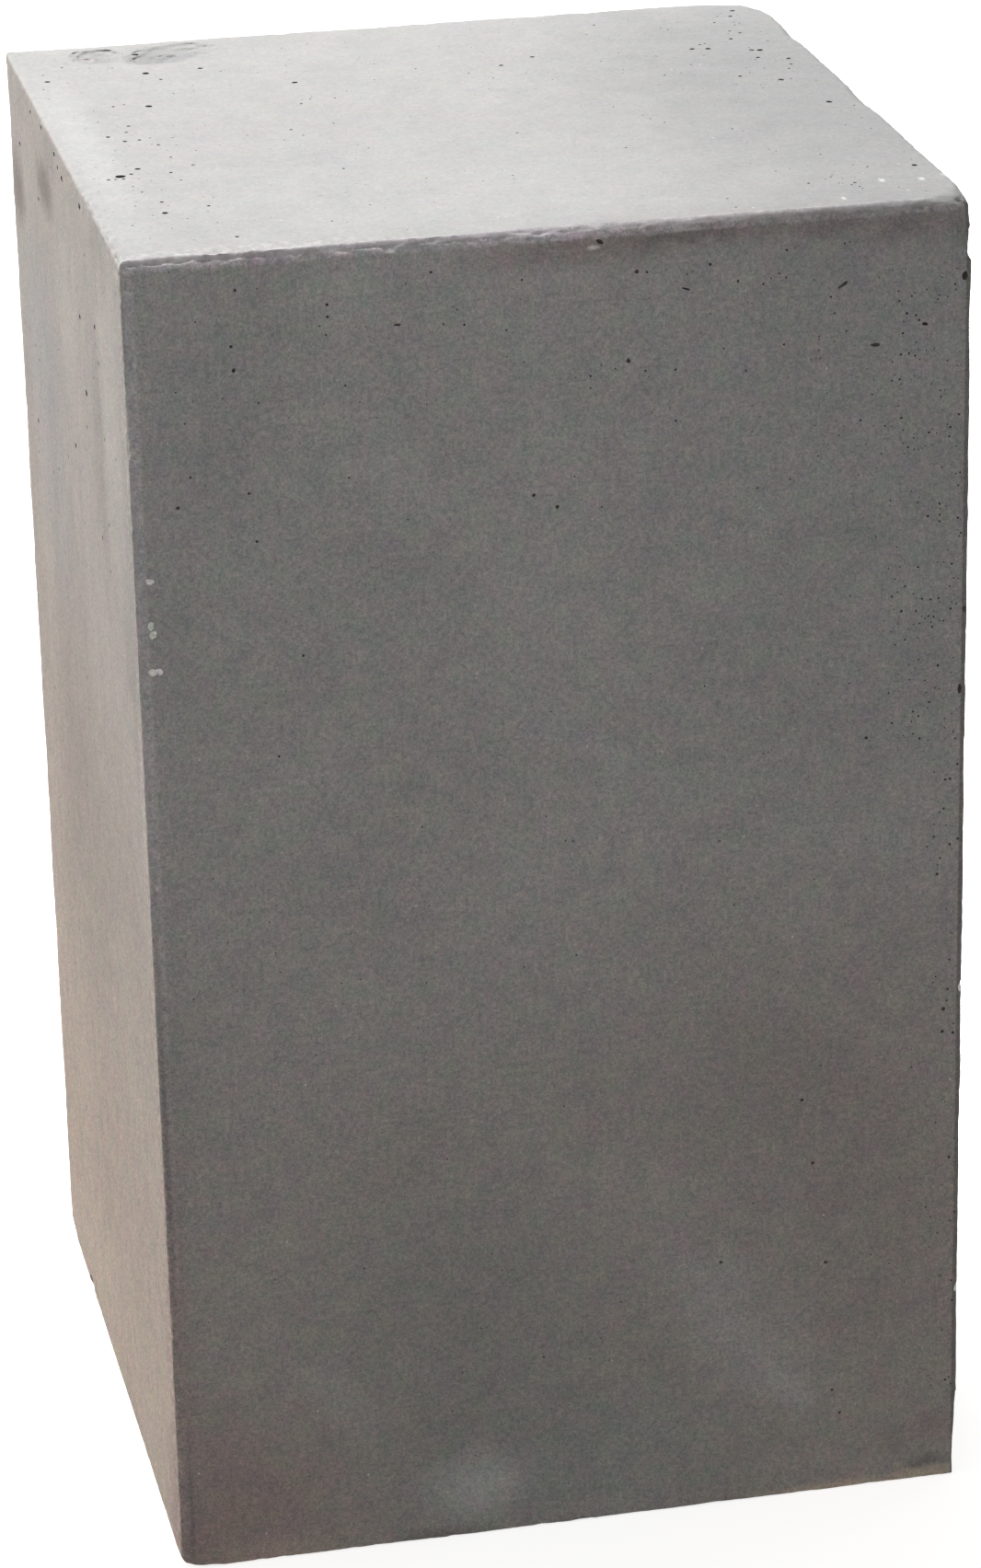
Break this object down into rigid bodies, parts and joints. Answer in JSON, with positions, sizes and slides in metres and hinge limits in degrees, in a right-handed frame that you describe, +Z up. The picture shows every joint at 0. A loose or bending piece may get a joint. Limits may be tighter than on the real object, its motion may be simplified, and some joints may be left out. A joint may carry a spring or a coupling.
{
  "type": "plinth",
  "caption": "Square upright plinth cast in solid grey concrete, flat on top and underneath, with eased arrises, blowholes and small knocks.",
  "frame": {"origin": "middle of the underside, which stands on the ground", "axes": "+Z up; the front face looks along -Y; +X is to the right when looking at the front"},
  "size_m": [0.3, 0.3, 0.505],
  "materials": {
    "concrete": "cast grey concrete, matt, with cloudy marks, blowholes and worn arrises"
  },
  "bodies": {
    "root": {"plinth": "concrete"}
  },
  "joints": []
}
